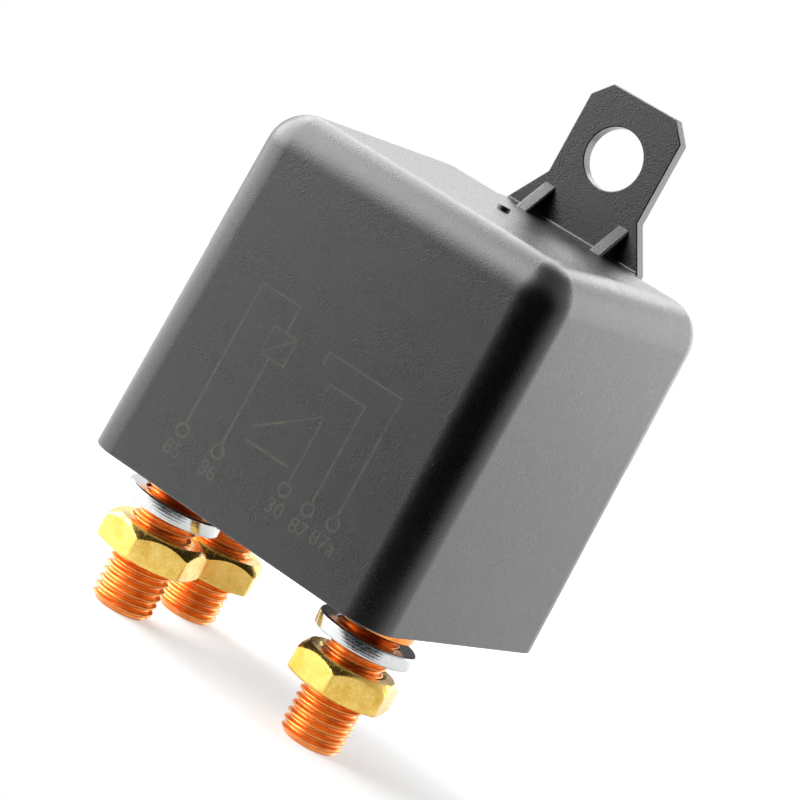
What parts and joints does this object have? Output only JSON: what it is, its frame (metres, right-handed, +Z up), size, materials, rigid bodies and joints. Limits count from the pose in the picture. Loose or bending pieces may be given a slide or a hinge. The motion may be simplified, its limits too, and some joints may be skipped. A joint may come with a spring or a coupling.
{
  "type": "changeover relay",
  "caption": "Square sealed changeover relay with a holed mounting tab, threaded copper studs with nuts and washers, flat coil blades and a working rocking armature inside.",
  "frame": {"origin": "centre of the plan, on the plane of the studs' ends", "axes": "+Z up towards the tab, -Y out of the label side, +X to the right of the label side"},
  "size_m": [0.046, 0.044, 0.0831],
  "materials": {
    "cover_plastic": "fine moulded grain",
    "base_plastic": "fine moulded grain",
    "resin": "glossy cast resin",
    "copper": "turned copper",
    "nut_brass": "turned and bright",
    "washer_steel": "zinc plated",
    "blade_brass": "tin plated",
    "soft_iron": "zinc plated soft iron",
    "bobbin_plastic": "natural",
    "coil_wire": "enamelled copper",
    "busbar_copper": "stamped copper",
    "contact_silver": "silver alloy",
    "rivet_steel": "plated",
    "spring_bronze": "rolled strip",
    "braid_copper": "woven copper"
  },
  "bodies": {
    "housing": {"cover": "cover_plastic", "base": "base_plastic", "base_seal": "resin", "stud_common": "copper", "stud_open": "copper", "stud_closed": "copper", "coil_blade_left": "blade_brass", "coil_blade_right": "blade_brass", "yoke": "soft_iron", "core": "soft_iron", "bobbin": "bobbin_plastic", "winding": "coil_wire", "coil_leads": "coil_wire", "return_spring": "spring_bronze", "yoke_rivets": "rivet_steel", "common_busbar": "busbar_copper", "open_busbar": "busbar_copper", "closed_busbar": "busbar_copper", "open_contact": "contact_silver", "closed_contact": "contact_silver", "braid": "braid_copper"},
    "rocker": {"armature": "soft_iron", "contact_carrier": "bobbin_plastic", "contact_blade": "busbar_copper", "moving_contact": "contact_silver", "armature_rivets": "rivet_steel", "blade_rivets": "rivet_steel", "spring_rivet": "rivet_steel"},
    "common_washer": {"washer_common": "washer_steel"},
    "common_nut": {"nut_common": "nut_brass"},
    "open_washer": {"washer_open": "washer_steel"},
    "open_nut": {"nut_open": "nut_brass"},
    "closed_washer": {"washer_closed": "washer_steel"},
    "closed_nut": {"nut_closed": "nut_brass"}
  },
  "joints": [
    {"name": "armature_rock", "type": "hinge", "parent": "housing", "child": "rocker", "pos_m": [0.0152, 0.0053, 0.0509], "axis": [0, -1, 0], "range_deg": [0, 4.2], "stiffness_Nm_per_rad": 0.35, "springref_deg": -3.44, "deforming": ["return_spring", "braid"]},
    {"name": "common_washer_slide", "type": "slide", "parent": "housing", "child": "common_washer", "axis": [0, 0, -1], "range_m": [0, 0.006]},
    {"name": "common_nut_turn", "type": "hinge", "parent": "common_washer", "child": "common_nut", "pos_m": [0.0155, -0.0081, 0.009], "axis": [0, 0, -1], "range_deg": [0, 2161]},
    {"name": "open_washer_slide", "type": "slide", "parent": "housing", "child": "open_washer", "axis": [0, 0, -1], "range_m": [0, 0.006]},
    {"name": "open_nut_turn", "type": "hinge", "parent": "open_washer", "child": "open_nut", "pos_m": [-0.0155, -0.0081, 0.0089], "axis": [0, 0, -1], "range_deg": [0, 2161]},
    {"name": "closed_washer_slide", "type": "slide", "parent": "housing", "child": "closed_washer", "axis": [0, 0, -1], "range_m": [0, 0.005]},
    {"name": "closed_nut_turn", "type": "hinge", "parent": "closed_washer", "child": "closed_nut", "pos_m": [-0.0162, 0.0081, 0.0079], "axis": [0, 0, -1], "range_deg": [0, 1801]}
  ],
  "couplings": [
    {"joint": "common_nut_turn", "follows": "common_washer_slide", "rad_per_m": 6283.2},
    {"joint": "open_nut_turn", "follows": "open_washer_slide", "rad_per_m": 6283.2},
    {"joint": "closed_nut_turn", "follows": "closed_washer_slide", "rad_per_m": 6283.2}
  ]
}
